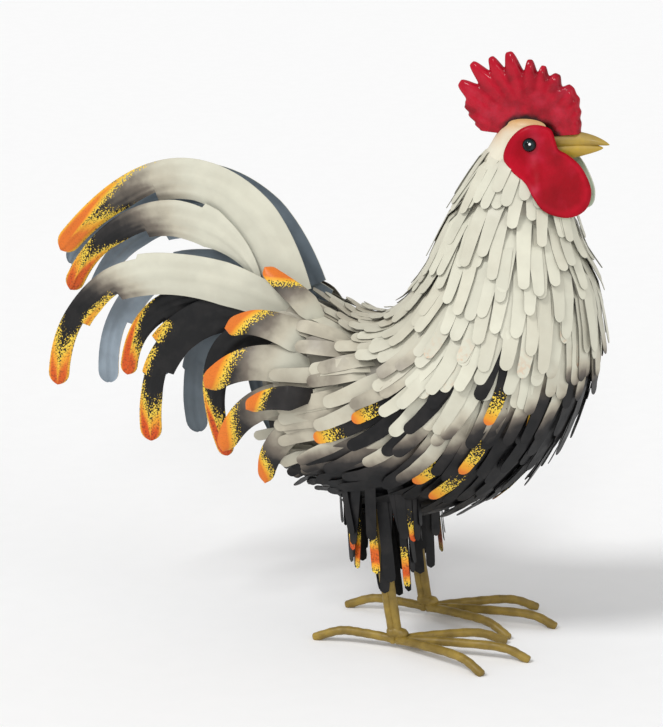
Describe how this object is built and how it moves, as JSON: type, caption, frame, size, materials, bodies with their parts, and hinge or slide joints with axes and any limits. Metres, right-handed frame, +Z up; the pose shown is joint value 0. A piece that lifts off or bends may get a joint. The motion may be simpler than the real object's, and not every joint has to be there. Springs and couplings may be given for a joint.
{
  "type": "garden rooster ornament",
  "caption": "Standing rooster of painted sheet metal with overlapping feathers, arched tail, toothed comb and welded rod feet; a garden statue that stands on its toes.",
  "frame": {"origin": "on the ground, at the middle of the part's bounding box", "axes": "+X forward to the beak, +Y to the bird's left, +Z up"},
  "size_m": [0.5144, 0.1992, 0.5381],
  "materials": {
    "plumage": "satin cream paint airbrushed to grey, black and orange at the tips",
    "dark_plumage": "satin charcoal paint with orange tips",
    "comb_red": "glossy red paint",
    "beak_yellow": "satin olive yellow paint",
    "leg_gold": "satin olive gold paint",
    "eye_black": "glossy bead"
  },
  "bodies": {
    "root": {"body_core": "plumage", "head": "plumage", "comb": "comb_red", "beak": "beak_yellow", "right_face_and_wattle": "comb_red", "right_eye": "eye_black", "right_shank": "leg_gold", "right_outer_front_toe": "leg_gold", "right_middle_front_toe": "leg_gold", "right_inner_front_toe": "leg_gold", "right_hind_toe": "leg_gold", "right_thigh_feathers_upper": "dark_plumage", "right_thigh_feathers_lower": "dark_plumage", "right_tail_feather_1": "plumage", "right_tail_feather_2": "plumage", "right_tail_feather_3": "plumage", "right_tail_feather_4": "dark_plumage", "right_tail_feather_5": "dark_plumage", "right_tail_feather_6": "dark_plumage", "right_saddle_feather_1": "plumage", "right_saddle_feather_2": "plumage", "right_saddle_feather_3": "plumage", "right_saddle_feather_4": "plumage", "right_saddle_feather_5": "plumage", "right_saddle_feather_6": "plumage", "left_face_and_wattle": "comb_red", "left_eye": "eye_black", "left_shank": "leg_gold", "left_outer_front_toe": "leg_gold", "left_middle_front_toe": "leg_gold", "left_inner_front_toe": "leg_gold", "left_hind_toe": "leg_gold", "left_thigh_feathers_upper": "dark_plumage", "left_thigh_feathers_lower": "dark_plumage", "left_tail_feather_1": "plumage", "left_tail_feather_2": "plumage", "left_tail_feather_3": "plumage", "left_tail_feather_4": "dark_plumage", "left_tail_feather_5": "dark_plumage", "left_tail_feather_6": "dark_plumage", "left_saddle_feather_1": "plumage", "left_saddle_feather_2": "plumage", "left_saddle_feather_3": "plumage", "left_saddle_feather_4": "plumage", "left_saddle_feather_5": "plumage", "left_saddle_feather_6": "plumage", "feather_row_1": "plumage", "feather_row_2": "plumage", "feather_row_3": "plumage", "feather_row_4": "plumage", "feather_row_5": "plumage", "feather_row_6": "plumage", "feather_row_7": "plumage", "feather_row_8": "plumage", "feather_row_9": "plumage", "feather_row_10": "plumage", "feather_row_11": "plumage", "feather_row_12": "plumage", "feather_row_13": "plumage"}
  },
  "joints": []
}
